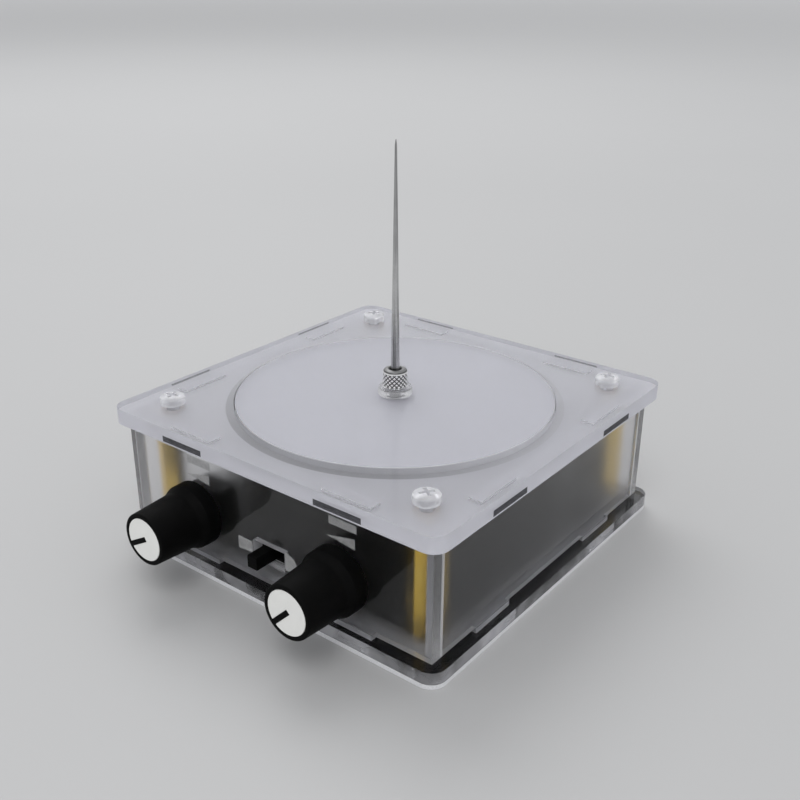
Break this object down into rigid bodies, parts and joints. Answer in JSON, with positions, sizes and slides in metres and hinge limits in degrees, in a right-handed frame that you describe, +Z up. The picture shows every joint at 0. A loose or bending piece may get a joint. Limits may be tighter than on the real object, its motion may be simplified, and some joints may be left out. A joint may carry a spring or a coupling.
{
  "type": "desktop resonant transformer",
  "caption": "Square clear case with a disc in its lid, a flat wide coil inside, an upright discharge needle on top, and skirted knobs and a slide switch in front.",
  "frame": {"origin": "centre of the square underside of the bottom board, on the surface that the case stands on", "axes": "+Z up along the needle; the front with the knobs faces -Y; +X to the right seen from the front"},
  "size_m": [0.1, 0.1144, 0.1004],
  "materials": {
    "clear_acrylic": "clear sheet with polished faces and laser-cut edges",
    "frosted_acrylic": "clear on top, frosted underneath",
    "clear_plastic": "clear moulded plastic, glossy",
    "black_laminate": "black lacquered glass-fibre board",
    "black_plastic": "satin black moulding",
    "white_plastic": "white moulding, satin",
    "polished_steel": "ground and polished steel",
    "plated_steel": "nickel-plated steel",
    "turned_aluminium": "turned aluminium",
    "dark_former": "dark plastic tube",
    "dark_winding": "fine enamelled copper wire under dark varnish",
    "enamelled_copper": "enamelled copper wire",
    "tinned_brass": "tinned brass",
    "bare_brass": "turned brass",
    "black_wire": "thick copper wire in black insulation",
    "capacitor_film": "dipped dark red resin"
  },
  "bodies": {
    "case": {"bottom_board": "black_laminate", "base_plate": "clear_acrylic", "front_panel": "clear_acrylic", "rear_panel": "clear_acrylic", "left_panel": "clear_acrylic", "right_panel": "clear_acrylic", "top_plate": "frosted_acrylic", "centre_disc": "frosted_acrylic", "corner_pillars": "bare_brass", "top_screws": "clear_plastic", "bottom_screws": "plated_steel", "board_spacers": "clear_plastic", "board_screws": "plated_steel", "circuit_board": "black_laminate", "left_pot_body": "black_plastic", "right_pot_body": "black_plastic", "left_pot_nut": "plated_steel", "right_pot_nut": "plated_steel", "switch_body": "black_plastic", "power_socket": "black_plastic", "power_socket_pin": "plated_steel", "secondary_former": "dark_former", "secondary_winding": "dark_winding", "primary_sleeve": "dark_former", "primary_coil": "black_wire", "primary_terminals": "tinned_brass", "top_lead": "enamelled_copper", "clamp_nut": "plated_steel", "terminal_stud": "plated_steel", "terminal_washer": "clear_plastic", "knurled_nut": "plated_steel", "discharge_needle": "polished_steel", "heat_sink": "turned_aluminium", "power_transistors": "black_plastic", "transistor_screws": "plated_steel", "filter_capacitors": "black_plastic", "film_capacitor": "capacitor_film", "driver_chip": "black_plastic"},
    "left_control": {"left_knob": "black_plastic", "left_knob_cap": "white_plastic", "left_pot_shaft": "turned_aluminium"},
    "right_control": {"right_knob": "black_plastic", "right_knob_cap": "white_plastic", "right_pot_shaft": "turned_aluminium"},
    "mode_slider": {"switch_slider": "black_plastic"}
  },
  "joints": [
    {"name": "left_knob_turn", "type": "hinge", "parent": "case", "child": "left_control", "pos_m": [-0.0225, -0.04695, 0.0161], "axis": [0, 1, 0], "range_deg": [-20, 260]},
    {"name": "right_knob_turn", "type": "hinge", "parent": "case", "child": "right_control", "pos_m": [0.0225, -0.04695, 0.0161], "axis": [0, 1, 0], "range_deg": [-5, 275]},
    {"name": "mode_slide", "type": "slide", "parent": "case", "child": "mode_slider", "axis": [1, 0, 0], "range_m": [0, 0.002]}
  ]
}
